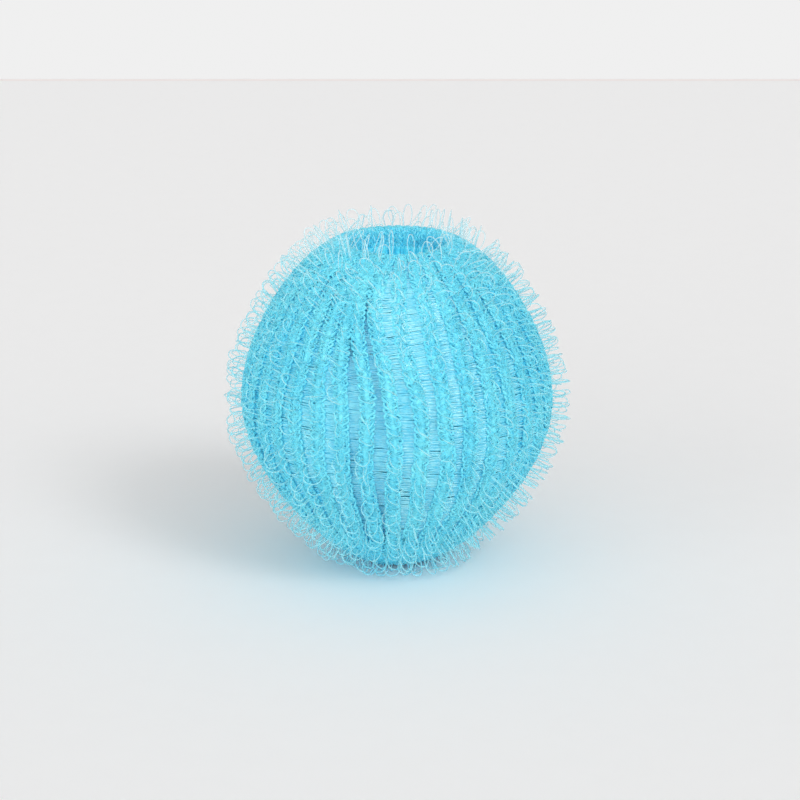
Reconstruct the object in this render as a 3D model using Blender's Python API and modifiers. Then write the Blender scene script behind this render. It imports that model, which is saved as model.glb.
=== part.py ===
"""Pet hair laundry ball: a hollow ball of knitted nylon, set all over with small loops of filament.

A knitted tube is gathered and tied at both poles. Its wales, the raised chains of stitches that carry the
loops, run from pole to pole over a thin ground net. The half of the tube that is turned inside lies close
behind that net. The origin is under the ball's middle, on the surface that it rests on, and Z is up.
Lengths are in metres. An outline is drawn in the XZ plane, as points of radius and height.
"""

import math

import bmesh
import bpy
from mathutils import Vector

MM = 0.001

# Knitted body, without its loops
BODY_RADIUS = 15.45 * MM
BODY_HEIGHT = 33.4 * MM
WIDEST_LEVEL = 16.9 * MM
BASE_RADIUS = 4.55 * MM
BASE_LIFT = 0.35 * MM
RIM_RADIUS = 5.3 * MM
RIM_ROUND = 1.2 * MM
# How far each end of the two body curves runs straight, as a share of the way to the other end
BASE_FLATNESS = 0.18
LOWER_FULLNESS = 0.47
UPPER_FULLNESS = 0.49
RIM_FLATNESS = 0.23

# Wales and their loops
WALE_COUNT = 38
WALE_TURN = math.radians(3.1)
WALE_WIDTH = 1.35 * MM
WALE_THICKNESS = 0.5 * MM
WALE_STEPS = 5
RIM_STEPS = 3
LOOP_HEIGHT = 1.9 * MM
LOOP_WIDTH = 1.5 * MM
LOOP_SHOULDER = 0.68
STRAND = 0.26 * MM
# Widest foot of a loop, as a share of half its wale
FOOT_SHARE = 0.7
FLOOR_CLEARANCE = 0.3 * MM

# Layers behind the wales
LAYER_STEPS = 6
NET_THICKNESS = 0.35 * MM
# How far the net swells out between two wales, as a share of their pitch
NET_SWELL = 0.26
SLEEVE_THICKNESS = 0.35 * MM
POLE_HOLE_RADIUS = 1.3 * MM
FACET_ALLOWANCE = 0.25 * MM

# Gathered ends, each a pleated well with the tied neck standing in it
CRATER_DEPTH = 3.6 * MM
DIMPLE_RADIUS = 3.0 * MM
DIMPLE_DEPTH = 2.0 * MM
DIMPLE_EDGE = 0.3 * MM
WELL_FILLET = 0.7 * MM
GATHER_THICKNESS = 0.6 * MM
PLEAT_COUNT = 19
PLEAT_DEPTH = 0.1 * MM
NECK_RADIUS = 0.8 * MM
NECK_LENGTH = 1.2 * MM
TUFT_LENGTH = 0.5 * MM
TUFT_FLARE = 0.25 * MM
# How deep the pleats are on each stretch, as a share of their depth on the wall
FLOOR_PLEATS = 0.8
NECK_PLEATS = 0.3
TUFT_PLEATS = 0.6

# Threads that tie the necks
THREAD = 0.4 * MM
TIE_LEVEL = 0.7 * MM
TIE_SIDES = 20
THREAD_SIDES = 6
KNOT_RADIUS = 0.35 * MM
# Where the knot's ends start to round off, and its radius there, as shares of its radius
KNOT_SHOULDER = 0.6
SHOULDER_RADIUS = 0.9
TAIL_LENGTH = 1.2 * MM
TOP_KNOT_ANGLE = math.radians(-60)
BOTTOM_KNOT_ANGLE = math.radians(120)

# Smallest gap between two pieces
GAP = 0.3 * MM

# Edges that turn less than this are shaded smooth
SMOOTH_PLEATS = math.radians(50)
SMOOTH_THREAD = math.radians(80)

NET_INSET = WALE_THICKNESS + GAP + FACET_ALLOWANCE
SLEEVE_INSET = NET_INSET + NET_THICKNESS + GAP + FACET_ALLOWANCE
CRATER_RADIUS = RIM_RADIUS - RIM_ROUND
FOOT_RADIUS = BASE_RADIUS - GAP
TIE_RADIUS = NECK_RADIUS + GAP + THREAD / 2
WELL_BACK = PLEAT_DEPTH + GATHER_THICKNESS + GAP
TOP_TIE_LEVEL = BODY_HEIGHT - CRATER_DEPTH + TIE_LEVEL
BOTTOM_TIE_LEVEL = DIMPLE_DEPTH - TIE_LEVEL
# A three-sided strand's flat side lies this far from its middle
STRAND_SIDE = STRAND / 3

# Colour, roughness and metallic value of each material
FINISHES = {
    "wale_yarn": ((0.16, 0.69, 0.85), 0.55, 0.0),
    "ground_filament": ((0.24, 0.74, 0.88), 0.35, 0.0),
    "sleeve_filament": ((0.20, 0.70, 0.86), 0.40, 0.0),
    "gathered_knit": ((0.12, 0.60, 0.80), 0.60, 0.0),
    "tie_thread": ((0.30, 0.76, 0.90), 0.50, 0.0),
}


def clear_scene():
    for obj in list(bpy.data.objects):
        bpy.data.objects.remove(obj, do_unlink=True)


def make_materials():
    for name, (colour, roughness, metallic) in FINISHES.items():
        material = bpy.data.materials.new(name)
        material.use_nodes = True
        shader = material.node_tree.nodes["Principled BSDF"]
        shader.inputs["Base Color"].default_value = (*colour, 1.0)
        shader.inputs["Roughness"].default_value = roughness
        shader.inputs["Metallic"].default_value = metallic
        material.diffuse_color = (*colour, 1.0)


def add_object(name, data, finish, smooth_under=0.0):
    """One named piece of the ball. Edges that turn less than smooth_under are shaded smooth."""
    if isinstance(data, bpy.types.Mesh) and smooth_under:
        data.shade_smooth()
        data.set_sharp_from_angle(angle=smooth_under)
    if not data.materials:
        data.materials.append(bpy.data.materials[finish])
    obj = bpy.data.objects.new(name, data)
    parts.objects.link(obj)
    obj.parent = centre
    return obj


def cubic(start, leave, arrive, end, steps):
    """Points of a cubic curve and its direction at each, as (point, along) pairs."""
    pairs = []
    for number in range(steps + 1):
        t = number / steps
        s = 1 - t
        point = s**3 * start + 3 * s * s * t * leave + 3 * s * t * t * arrive + t**3 * end
        along = s * s * (leave - start) + 2 * s * t * (arrive - leave) + t * t * (end - arrive)
        pairs.append((point, along.normalized()))
    return pairs


def body_outline(inset, steps):
    """The body from its base to the crest of its rim, set in from the knitted surface by inset."""
    base = Vector((BASE_RADIUS, BASE_LIFT + inset))
    belt = Vector((BODY_RADIUS - inset, WIDEST_LEVEL))
    crest = Vector((RIM_RADIUS, BODY_HEIGHT - inset))
    outwards = Vector((1, 0))
    upwards = Vector((0, 1))
    leave_base = base + outwards * (belt.x - base.x) * BASE_FLATNESS
    reach_belt = belt - upwards * (belt.y - base.y) * LOWER_FULLNESS
    leave_belt = belt + upwards * (crest.y - belt.y) * UPPER_FULLNESS
    reach_crest = crest + outwards * (belt.x - crest.x) * RIM_FLATNESS
    lower = cubic(base, leave_base, reach_belt, belt, steps)
    upper = cubic(belt, leave_belt, reach_crest, crest, steps)
    return lower[:-1] + upper


def rim_point(turn):
    """The knitted surface on the rim, turned this far from the crest towards the crater."""
    return Vector(
        (
            RIM_RADIUS - RIM_ROUND * math.sin(turn),
            BODY_HEIGHT - RIM_ROUND * (1 - math.cos(turn)),
        )
    )


def wale_stations():
    """The stations of a wale: the body's outline, then over the rim and into the crater."""
    pairs = body_outline(0, WALE_STEPS)
    for number in range(1, RIM_STEPS + 1):
        turn = math.pi / 2 * number / RIM_STEPS
        pairs.append((rim_point(turn), Vector((-math.cos(turn), -math.sin(turn)))))
    return pairs


def wale_pitch(radius):
    return 2 * math.pi * radius / WALE_COUNT


def in_space(point, side=0.0):
    """A point of an outline, moved to one side of the plane that it is drawn in."""
    return Vector((point.x, side, point.y))


def loop_direction(point, outwards):
    """Square to the surface, but near the base turned up enough to clear the floor."""
    lowest = (FLOOR_CLEARANCE + STRAND - point.y) / LOOP_HEIGHT
    height = max(outwards.y, lowest)
    return Vector((math.sqrt(max(0.0, 1 - height * height)), height))


def bridge(bm, ring, next_ring):
    for number in range(len(ring)):
        after = (number + 1) % len(ring)
        bm.faces.new((ring[number], ring[after], next_ring[after], next_ring[number]))


def strand_ring(bm, point, side, outer, along):
    """Three corners of a loop's strand, two on its outer side and one on its inner side."""
    middle = in_space(point, side)
    half = in_space(along) * STRAND / 2
    corners = (middle - half + outer, middle + half + outer, middle - outer)
    return [bm.verts.new(corner) for corner in corners]


def add_loop(bm, point, outwards, left_foot, right_foot):
    """A loop of filament that stands across the wale, from one foot to the other."""
    direction = loop_direction(point, outwards)
    along = Vector((-direction.y, direction.x))
    shoulder = point + direction * LOOP_HEIGHT * LOOP_SHOULDER
    apex = point + direction * (LOOP_HEIGHT - STRAND_SIDE)
    half_width = min(LOOP_WIDTH, wale_pitch(shoulder.x) - GAP) / 2 - STRAND_SIDE
    sideways = Vector((0, STRAND_SIDE, 0))
    upwards = in_space(direction) * STRAND_SIDE
    rings = [
        left_foot,
        strand_ring(bm, shoulder, -half_width, -sideways, along),
        strand_ring(bm, apex, 0.0, upwards, along),
        strand_ring(bm, shoulder, half_width, sideways, along),
        right_foot,
    ]
    for ring, next_ring in zip(rings, rings[1:]):
        bridge(bm, ring, next_ring)


def wale_mesh(name, first_loop):
    """A three-sided rib, flat outside and pointed inside, with a loop at every second station."""
    bm = bmesh.new()
    stations = wale_stations()
    crest = 2 * WALE_STEPS
    before = None
    for number, (point, along) in enumerate(stations):
        outwards = Vector((along.y, -along.x))
        half_width = min(WALE_WIDTH, wale_pitch(point.x) - GAP) / 2
        keel = bm.verts.new(in_space(point - outwards * WALE_THICKNESS))
        has_loop = first_loop <= number <= crest and (number - first_loop) % 2 == 0
        foot = STRAND / 2 if has_loop else 0.0
        left = bm.verts.new(in_space(point - along * foot, -half_width))
        right = bm.verts.new(in_space(point - along * foot, half_width))
        if before is None:
            bm.faces.new((left, right, keel))
        else:
            bridge(bm, before, (left, right, keel))
        if has_loop:
            next_left = bm.verts.new(in_space(point + along * foot, -half_width))
            next_right = bm.verts.new(in_space(point + along * foot, half_width))
            inner_side = half_width - min(STRAND, half_width * FOOT_SHARE)
            inner_left = bm.verts.new(in_space(point, -inner_side))
            inner_right = bm.verts.new(in_space(point, inner_side))
            bm.faces.new((left, inner_left, inner_right, right))
            bm.faces.new((next_left, next_right, inner_right, inner_left))
            bm.faces.new((left, keel, next_left))
            bm.faces.new((right, next_right, keel))
            left_foot = [left, next_left, inner_left]
            right_foot = [right, next_right, inner_right]
            add_loop(bm, point, outwards, left_foot, right_foot)
            left = next_left
            right = next_right
        before = (left, right, keel)
    bm.faces.new(before)
    bmesh.ops.recalc_face_normals(bm, faces=bm.faces)
    mesh = bpy.data.meshes.new(name)
    bm.to_mesh(mesh)
    bm.free()
    return mesh


def make_wales():
    """The wales stand side by side round the ball, with the loops of each other one half a step on."""
    meshes = [wale_mesh("wale_with_loops_on_odd_steps", 1), wale_mesh("wale_with_loops_on_even_steps", 2)]
    for number in range(WALE_COUNT):
        opposite = number % (WALE_COUNT // 2)
        obj = add_object(f"wale_{number + 1:02d}", meshes[opposite % 2], "wale_yarn")
        obj.rotation_euler.z = WALE_TURN + 2 * math.pi * number / WALE_COUNT


def layer_outline(inset):
    """A layer's outline up from the hole at the base: behind the dimple, the wales and the crater."""
    behind = WELL_BACK + inset - NET_INSET
    crater_wall = CRATER_RADIUS + behind
    crater_floor = BODY_HEIGHT - CRATER_DEPTH - behind
    dimple_wall = DIMPLE_RADIUS + behind
    dimple_floor = DIMPLE_DEPTH + behind
    behind_dimple = [
        Vector((POLE_HOLE_RADIUS, dimple_floor)),
        Vector((dimple_wall, dimple_floor)),
        Vector((dimple_wall, BASE_LIFT + inset)),
    ]
    behind_wales = [point for point, along in body_outline(inset, LAYER_STEPS)[1:-1]]
    behind_crater = [
        Vector((crater_wall, BODY_HEIGHT - inset)),
        Vector((crater_wall, crater_floor)),
        Vector((POLE_HOLE_RADIUS, crater_floor)),
    ]
    return behind_dimple, behind_wales, behind_crater


def add_wall(obj, thickness):
    """Gives a sheet its thickness, on the side that it faces away from."""
    wall = obj.modifiers.new("Wall", "SOLIDIFY")
    wall.thickness = thickness
    wall.offset = -1
    wall.use_even_offset = True


def make_net():
    """The ground net. It lies low behind each wale and swells out between each two."""
    behind_dimple, behind_wales, behind_crater = layer_outline(NET_INSET)
    outline = behind_dimple + behind_wales + behind_crater
    swells = [NET_SWELL * wale_pitch(point.x) for point in behind_wales]
    swells = [0.0] * len(behind_dimple) + swells + [0.0] * len(behind_crater)
    bm = bmesh.new()
    rings = []
    for number, (point, swell) in enumerate(zip(outline, swells)):
        along = outline[min(number + 1, len(outline) - 1)] - outline[max(number - 1, 0)]
        outwards = Vector((along.y, -along.x)).normalized()
        ring = []
        for column in range(2 * WALE_COUNT):
            angle = math.pi * column / WALE_COUNT
            moved = point + outwards * swell * (column % 2)
            ring.append(bm.verts.new((moved.x * math.cos(angle), moved.x * math.sin(angle), moved.y)))
        rings.append(ring)
    for ring, next_ring in zip(rings, rings[1:]):
        bridge(bm, ring, next_ring)
    mesh = bpy.data.meshes.new("ground_net")
    bm.to_mesh(mesh)
    bm.free()
    obj = add_object("ground_net", mesh, "ground_filament")
    obj.rotation_euler.z = WALE_TURN
    add_wall(obj, NET_THICKNESS)


def make_sleeve():
    """The inner sleeve, turned from an outline that runs down, so that its outer side faces the net."""
    behind_dimple, behind_wales, behind_crater = layer_outline(SLEEVE_INSET)
    outline = (behind_dimple + behind_wales + behind_crater)[::-1]
    mesh = bpy.data.meshes.new("inner_sleeve")
    edges = [(number, number + 1) for number in range(len(outline) - 1)]
    mesh.from_pydata([in_space(point) for point in outline], edges, [])
    obj = add_object("inner_sleeve", mesh, "sleeve_filament")
    obj.rotation_euler.z = WALE_TURN
    turn = obj.modifiers.new("Turn", "SCREW")
    turn.steps = WALE_COUNT
    turn.render_steps = WALE_COUNT
    turn.use_smooth_shade = True
    add_wall(obj, SLEEVE_THICKNESS)


def well_outline(lip, radius, depth):
    """A gathered end, as (point, pleat) pairs: down the well, along its floor and up the tied neck.

    Points are of radius and depth below the face that the well opens in. Pleat is how far the pleats
    swell there, as a share of their full depth.
    """
    corner = Vector((radius - WELL_FILLET, depth - WELL_FILLET))
    slope = WELL_FILLET * math.sqrt(0.5)
    neck_top = depth - NECK_LENGTH
    return [(point, 0.0) for point in lip] + [
        (Vector((radius, depth - WELL_FILLET)), 1.0),
        (corner + Vector((slope, slope)), 1.0),
        (Vector((radius - WELL_FILLET, depth)), FLOOR_PLEATS),
        (Vector((NECK_RADIUS, depth)), NECK_PLEATS),
        (Vector((NECK_RADIUS, neck_top)), NECK_PLEATS),
        (Vector((NECK_RADIUS + TUFT_FLARE, neck_top - TUFT_LENGTH)), TUFT_PLEATS),
    ]


def well_facing(pairs, number):
    """The direction that the well's open side faces at this point of its outline."""
    before = pairs[max(number - 1, 0)][0]
    after = pairs[min(number + 1, len(pairs) - 1)][0]
    along = (after - before).normalized()
    return Vector((-along.y, along.x))


def make_gather(name, pairs, face_level, downwards):
    """The pleated sheet of a gathered end. Depth runs down from a top face, or up from the base."""
    columns = 2 * PLEAT_COUNT
    bm = bmesh.new()
    rows = []
    for number, (point, pleat) in enumerate(pairs):
        facing = well_facing(pairs, number)
        row = []
        for column in range(columns):
            swell = PLEAT_DEPTH * pleat * (1 if column % 2 else -1)
            moved = point + facing * swell
            angle = math.pi * column / PLEAT_COUNT
            height = face_level - moved.y if downwards else face_level + moved.y
            place = (moved.x * math.cos(angle), moved.x * math.sin(angle), height)
            row.append(bm.verts.new(place))
        rows.append(row)
    for row, next_row in zip(rows, rows[1:]):
        if downwards:
            bridge(bm, row, next_row)
        else:
            bridge(bm, next_row, row)
    mesh = bpy.data.meshes.new(name)
    bm.to_mesh(mesh)
    bm.free()
    obj = add_object(name, mesh, "gathered_knit", SMOOTH_PLEATS)
    wall = obj.modifiers.new("Wall", "SOLIDIFY")
    wall.thickness = GATHER_THICKNESS
    wall.offset = -1


def crater_lip():
    """Where the crater's sheet starts, a gap below the ends of the wales."""
    return [Vector((CRATER_RADIUS, RIM_ROUND + GAP))]


def foot_lip():
    """The flat ring that the ball stands on, and the rounded way from it into the dimple."""
    return [
        Vector((FOOT_RADIUS, 0.0)),
        Vector((DIMPLE_RADIUS + DIMPLE_EDGE, 0.0)),
        Vector((DIMPLE_RADIUS, DIMPLE_EDGE)),
    ]


def make_tie(name, level):
    """The ring of thread that is drawn tight round a neck."""
    bpy.ops.mesh.primitive_torus_add(
        major_segments=TIE_SIDES,
        minor_segments=THREAD_SIDES,
        major_radius=TIE_RADIUS,
        minor_radius=THREAD / 2,
        location=(0, 0, 0),
    )
    torus = bpy.context.object
    mesh = torus.data
    bpy.data.objects.remove(torus, do_unlink=True)
    mesh.name = name
    mesh.materials.clear()
    obj = add_object(name, mesh, "tie_thread", SMOOTH_THREAD)
    obj.location.z = level


def make_knot(name, level, angle):
    """The tie's knot beside its ring: thread that swells into the knot and ends in two cut tails."""
    distance = TIE_RADIUS + THREAD / 2 + GAP + KNOT_RADIUS
    tail_start = KNOT_RADIUS + THREAD / 4
    reach = KNOT_RADIUS + TAIL_LENGTH
    steps = (
        (-reach, THREAD / 2),
        (-tail_start, THREAD / 2),
        (-KNOT_RADIUS * KNOT_SHOULDER, KNOT_RADIUS * SHOULDER_RADIUS),
        (0.0, KNOT_RADIUS),
        (KNOT_RADIUS * KNOT_SHOULDER, KNOT_RADIUS * SHOULDER_RADIUS),
        (tail_start, THREAD / 2),
        (reach, THREAD / 2),
    )
    curve = bpy.data.curves.new(name, "CURVE")
    curve.dimensions = "3D"
    curve.bevel_depth = 1.0
    curve.bevel_resolution = 1
    curve.use_fill_caps = True
    spline = curve.splines.new("POLY")
    spline.points.add(len(steps) - 1)
    for point, (way, radius) in zip(spline.points, steps):
        turn = way / distance
        point.co = (distance * math.cos(turn), distance * math.sin(turn), 0, 1)
        point.radius = radius
    obj = add_object(name, curve, "tie_thread")
    obj.location.z = level
    obj.rotation_euler.z = angle


clear_scene()
parts = bpy.data.collections.new("pet_hair_laundry_ball")
bpy.context.scene.collection.children.link(parts)
centre = bpy.data.objects.new("ball_centre", None)
parts.objects.link(centre)

make_materials()
make_wales()
make_net()
make_sleeve()
make_gather("top_gather", well_outline(crater_lip(), CRATER_RADIUS, CRATER_DEPTH), BODY_HEIGHT, True)
make_gather("bottom_gather", well_outline(foot_lip(), DIMPLE_RADIUS, DIMPLE_DEPTH), 0.0, False)
make_tie("top_tie", TOP_TIE_LEVEL)
make_tie("bottom_tie", BOTTOM_TIE_LEVEL)
make_knot("top_knot", TOP_TIE_LEVEL, TOP_KNOT_ANGLE)
make_knot("bottom_knot", BOTTOM_TIE_LEVEL, BOTTOM_KNOT_ANGLE)
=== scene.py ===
"""Pet hair laundry ball: the knitted surface, its pile of filament loops and the studio around them.

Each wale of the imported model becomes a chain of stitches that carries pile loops. The ground net becomes the
filaments that run to and fro between the wales, and the inner sleeve becomes a second knitted layer. Lengths
are in metres and Z is up. An outline is drawn as points of radius and height.
"""

import math
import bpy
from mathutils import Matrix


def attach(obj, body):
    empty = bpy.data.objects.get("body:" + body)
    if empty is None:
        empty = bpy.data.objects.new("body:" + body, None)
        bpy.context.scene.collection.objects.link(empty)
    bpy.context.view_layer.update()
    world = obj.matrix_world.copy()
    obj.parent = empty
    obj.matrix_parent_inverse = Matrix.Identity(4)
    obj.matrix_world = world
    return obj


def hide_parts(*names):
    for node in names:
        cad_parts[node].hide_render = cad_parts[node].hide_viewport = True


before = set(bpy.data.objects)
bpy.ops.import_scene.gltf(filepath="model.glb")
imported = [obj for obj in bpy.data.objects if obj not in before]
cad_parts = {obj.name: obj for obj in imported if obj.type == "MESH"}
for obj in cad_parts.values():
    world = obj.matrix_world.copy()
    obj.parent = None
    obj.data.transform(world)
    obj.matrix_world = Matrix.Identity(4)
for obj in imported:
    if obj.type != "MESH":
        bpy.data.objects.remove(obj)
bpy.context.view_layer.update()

from types import SimpleNamespace

import bpy
import numpy as np
from mathutils import Vector

MM = 0.001
random = np.random.default_rng(38)

# Knitted body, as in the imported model, but with a narrower foot and a rim that is a little sharper and wider
BODY_RADIUS = 15.45 * MM
BODY_HEIGHT = 33.4 * MM
WIDEST_LEVEL = 16.9 * MM
BASE_RADIUS = 4.1 * MM
# The pile at the foot holds the knit this far off the floor
FOOT_LIFT = 0.5 * MM
BASE_LIFT = 0.35 * MM + FOOT_LIFT
RIM_RADIUS = 5.45 * MM
RIM_ROUND = 0.8 * MM
# How far each curve of the body holds its direction, as a share of its width or height
BASE_FLATNESS = 0.18
LOWER_FULLNESS = 0.47
UPPER_FULLNESS = 0.49
RIM_FLATNESS = 0.23

# Wells at the two poles
CRATER_DEPTH = 3.6 * MM
CRATER_RADIUS = RIM_RADIUS - RIM_ROUND
DIMPLE_RADIUS = 3.0 * MM
DIMPLE_DEPTH = 2.0 * MM
# How far each tie lies from its well's floor, towards the mouth
TIE_LEVEL = 0.7 * MM
TOP_TIE_LEVEL = BODY_HEIGHT - CRATER_DEPTH + TIE_LEVEL
BOTTOM_TIE_LEVEL = DIMPLE_DEPTH - TIE_LEVEL

# Outline of the knit, which stops short of the wells' floors
DIMPLE_STOP = 0.2 * MM
CRATER_STOP = 0.3 * MM
# Its turn out of the dimple, as (out from the dimple's wall, up from the foot), and its height at the base
FOOT_TURN = ((0.0, 0.7 * MM), (0.25 * MM, 0.16 * MM), (0.85 * MM, 0.02 * MM))
FOOT_EDGE = 0.15 * MM
FOOT_PIECES = 8
BODY_STEPS = 60
# The foot runs on into the body past this many of the body's first points
BODY_SKIP = 2
RIM_POINTS = 12
OUTLINE_STEP = 0.05 * MM
# Its direction is smoothed over this many steps, so that no yarn kinks at a turn
ROUNDING_STEPS = 15

# Wales
WALE_COUNT = 38
WALE_TURN = math.radians(3.1)
# Wales that lie closer together than this are crowded
FULL_PITCH = 2.4 * MM
# How the wales stray from straight meridians: all together, and each by itself. A stray's waves are given as
# (how many, shortest, longest)
SHARED_TURN = math.radians(1.6)
SHARED_WAVES = (3, 20 * MM, 45 * MM)
OWN_STRAY = 0.24 * MM
OWN_WAVES = (3, 7 * MM, 20 * MM)
# How far along the wales the shared stray is shifted, at most, from place to place round the ball
SHARED_SHIFT = 12 * MM
# Nearer the poles than this a wale's own stray turns it no further
LEAST_STRAY_RADIUS = 4 * MM
# How the front wales are drawn to one side round one place
PINCH_TURN = math.radians(-9)
PINCH_ANGLE = math.radians(-93)
PINCH_SPREAD = math.radians(20)
PINCH_DISTANCE = 37 * MM
PINCH_LENGTH = 7 * MM
# How far the knit lies proud of the outline, and how far it sinks again at the rim, most of all in front
SWELL = 0.15 * MM
RIM_SINK = 0.3 * MM
RIM_DIP = 0.3 * MM
RIM_DIP_ANGLE = math.radians(-90)
RIM_REACH = 6 * MM

# Pieces of curve between two points of a yarn or filament, and a filament's sides
CURVE_PIECES = 2
FILAMENT_SIDES = 5

# Yarn chain of a wale
STITCH = 0.58 * MM
YARN_RADIUS = 0.12 * MM
YARN_SIDES = 6
CHAIN_HALF_WIDTH = 0.70 * MM
# Half of the least gap between the chains of two wales
CHAIN_CLEARANCE = 0.02 * MM
# One stitch of the chain, as (share of the half width, stitches along the wale, lift in mm)
CHAIN_STITCH = (
    (-0.10, 0.00, -0.30),
    (-0.46, 0.45, -0.17),
    (-0.95, 0.95, -0.14),
    (-0.80, 1.38, -0.24),
    (0.00, 1.62, -0.38),
    (0.80, 1.38, -0.24),
    (0.95, 0.95, -0.14),
    (0.46, 0.45, -0.17),
    (0.10, 0.00, -0.30),
    (0.00, 0.40, -0.52),
    (-0.05, 0.75, -0.48),
)
# How far a stitch's points stray, in each of these three measures
STITCH_JITTER = 0.08

# Core yarn under the chain
CORE_RADIUS = 0.45 * MM
CORE_SIDES = 8
CORE_LIFT = -0.43 * MM
CORE_STEP = 0.4 * MM
CORE_MARGIN = 0.4 * MM

# Stray filaments over the chain: a share of its half width to each side, lift in mm, and drop at the sides
FUZZ_STRANDS = 8
FUZZ_RADIUS = 0.05 * MM
FUZZ_SIDES = 4
FUZZ_MARGIN = 0.3 * MM
FUZZ_STEP = 0.24 * MM
FUZZ_STEP_SPREAD = 0.1 * MM
FUZZ_REACH = 1.1
FUZZ_LIFTS = (-0.12, 0.1)
FUZZ_DROP = 0.12 * MM

# Pile loops, one to every other stitch, and further apart near the rim
LOOP_HEIGHT = 2.1 * MM
LOOP_HALF_WIDTH = 0.68 * MM
LOOP_RADIUS = 0.068 * MM
# Shares of that radius at the foot and at the crown
LOOP_THICKNESS = (1.04, 0.86)
# Half of a loop, from its foot to its top, as shares of its half width and of its height
LOOP_HALF = ((0.40, -0.20), (0.50, 0.02), (0.90, 0.36), (1.00, 0.66), (0.62, 0.93), (0.0, 1.0))
LOOP_FOOT_LIFT = -0.2 * MM
LOOP_JITTER = 0.02 * MM
PILE_MARGIN = 0.4 * MM
PILE_STRAY = 0.1 * MM
RIM_SPACING = 1.15
# Degrees that a loop stands turned from square to its wale: a share of them at the foot, which grows with the
# climb until it is all of them, and fewer at the rim
LOOP_TWIST = 42
FOOT_TWIST = 0.4
TWIST_GAIN = 1.2
RIM_UNTWIST = 0.6
# How far loops stray from that turn, lean along the wale and tip across it, in degrees, on the body and at
# the rim
TWIST_SPREAD = (18, 38)
LEAN_SPREAD = (11, 24)
TIP_SPREAD = (10, 18)
CRATER_UPTURN = 0.9
# Each loop's own height and half width, as shares, and how much higher and narrower loops are at the rim
HEIGHT_RANGE = (0.86, 1.04)
WIDTH_RANGE = (0.85, 1.12)
RIM_GROWTH = 0.3
RIM_NARROWING = 0.15
# Where the wales' pitch is under this many of a loop's half widths, loops narrow, down to this share
LOOP_ROOM = 1.5
LEAST_LOOP_WIDTH = 0.75
# Between two loops the filament dips under the chain
DIP_DEPTH = 0.3 * MM
DIP_SPREAD = 0.1 * MM
# Yarns and filaments keep this far over the floor, and the pile by up to this much more
FLOOR_CLEARANCE = 0.12 * MM
FLOOR_UNEVENNESS = 0.06 * MM
# Above this the pile is painted paler, up to this share: painted light for the bright surround that shines
# through its filaments at the crown
CROWN_START = 28.5 * MM
CROWN_PAINTED_LIGHT = 0.45

# Ground net, in this many pieces
NET_SECTORS = 10
NET_START = 0.8 * MM
NET_STOP = 0.2 * MM
RUNG_RADIUS = 0.084 * MM
# One filament's course to and fro between two wales, as (share of the way, stitches, lift in mm)
RUNG_COURSE = (
    (0.24, 0.00, -0.30),
    (0.50, 0.00, -0.42),
    (0.76, 0.00, -0.30),
    (0.83, 0.25, -0.16),
    (0.83, 0.75, -0.16),
    (0.76, 1.00, -0.30),
    (0.50, 1.00, -0.42),
    (0.24, 1.00, -0.30),
    (0.17, 1.25, -0.16),
    (0.17, 1.75, -0.16),
)
# How far a course's points stray, in each of these three measures
RUNG_JITTER = (0.02, 0.025, 0.03)
# The filaments run side by side, each as (mm along the wale, share by which it is wider, lift in mm)
RUNG_STRANDS = (
    (-0.19, -0.04, -0.02),
    (-0.06, 0.0, 0.02),
    (0.07, 0.05, -0.02),
    (0.19, 0.1, 0.02),
    (0.31, 0.08, -0.06),
)
# How deep the gaps between wales lie, at most, and the few that lie deeper
GAP_DEPTH = 0.12 * MM
DEEP_GAPS = {26: 0.3 * MM, 27: 0.3 * MM, 5: 0.25 * MM, 14: 0.3 * MM}
# The filaments rise as the wales crowd together, by up to this much
CROWDED_LIFT = 0.3 * MM
# The gaps where some of the filaments, these of RUNG_STRANDS, are painted paler in stretches: a painted glint
# of the lamps on them and painted light from the backdrop seen through the net
GLINT_GAPS = (28, 29, 30, 31, 33, 2, 3, 8, 12, 13, 18, 20)
GLINT_STRANDS = (1, 3)

# Where the knit is drawn so flat that the ground filaments run over its wales: the angle round the ball, the
# height, and how far the patch reaches round and up from there
FLAT_PATCHES = (
    (math.radians(-86), 27.0 * MM, math.radians(15), 3.4 * MM),
    (math.radians(-38), 12.0 * MM, math.radians(10), 3.0 * MM),
    (math.radians(20), 22.0 * MM, math.radians(13), 4.0 * MM),
    (math.radians(75), 13.0 * MM, math.radians(12), 4.5 * MM),
    (math.radians(118), 25.0 * MM, math.radians(11), 3.0 * MM),
    (math.radians(168), 11.0 * MM, math.radians(14), 3.5 * MM),
    (math.radians(205), 24.0 * MM, math.radians(9), 3.0 * MM),
)
# There the chains sink, and the ground filaments rise, slant and reach further to each side
FLAT_DEPTH = 0.1 * MM
FLAT_LIFT = 0.1 * MM
FLAT_SLANT = math.radians(11)
FLAT_WIDENING = 0.2

# Second knitted layer, behind the first, from above the foot to below the rim
SLEEVE_PIECES = 4
SLEEVE_INSET = 1.55 * MM
SLEEVE_START = 1.0 * MM
SLEEVE_STOP = 1.5 * MM
SLEEVE_STITCH = 0.8 * MM
SLEEVE_YARN_RADIUS = 0.17 * MM
SLEEVE_HALF_WIDTH = 0.6 * MM
SLEEVE_CHAIN = (
    (-0.20, 0.00, -0.30),
    (-0.95, 0.90, -0.16),
    (0.00, 1.55, -0.40),
    (0.95, 0.90, -0.16),
    (0.20, 0.00, -0.30),
    (0.00, 0.55, -0.46),
)

# Gathered ends, of two cords to each wale. They start on the well's wall, this far from its floor
TOP_WALL_RADIUS = CRATER_RADIUS + RIM_SINK
TOP_WALL_LENGTH = 1.5 * MM
BOTTOM_WALL_LENGTH = 0.9 * MM
# In turn they lie this far behind the wall and proud of it
CORD_SWELL = 0.12 * MM
# They fill the neck in rings, these shares of its radius, and the tie draws them in to this share of that
NECK_RADIUS = 0.8 * MM
NECK_LENGTH = 1.2 * MM
NECK_RINGS = (0.62, 0.95, 0.25, 0.95)
TIE_PINCH = 0.92
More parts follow.
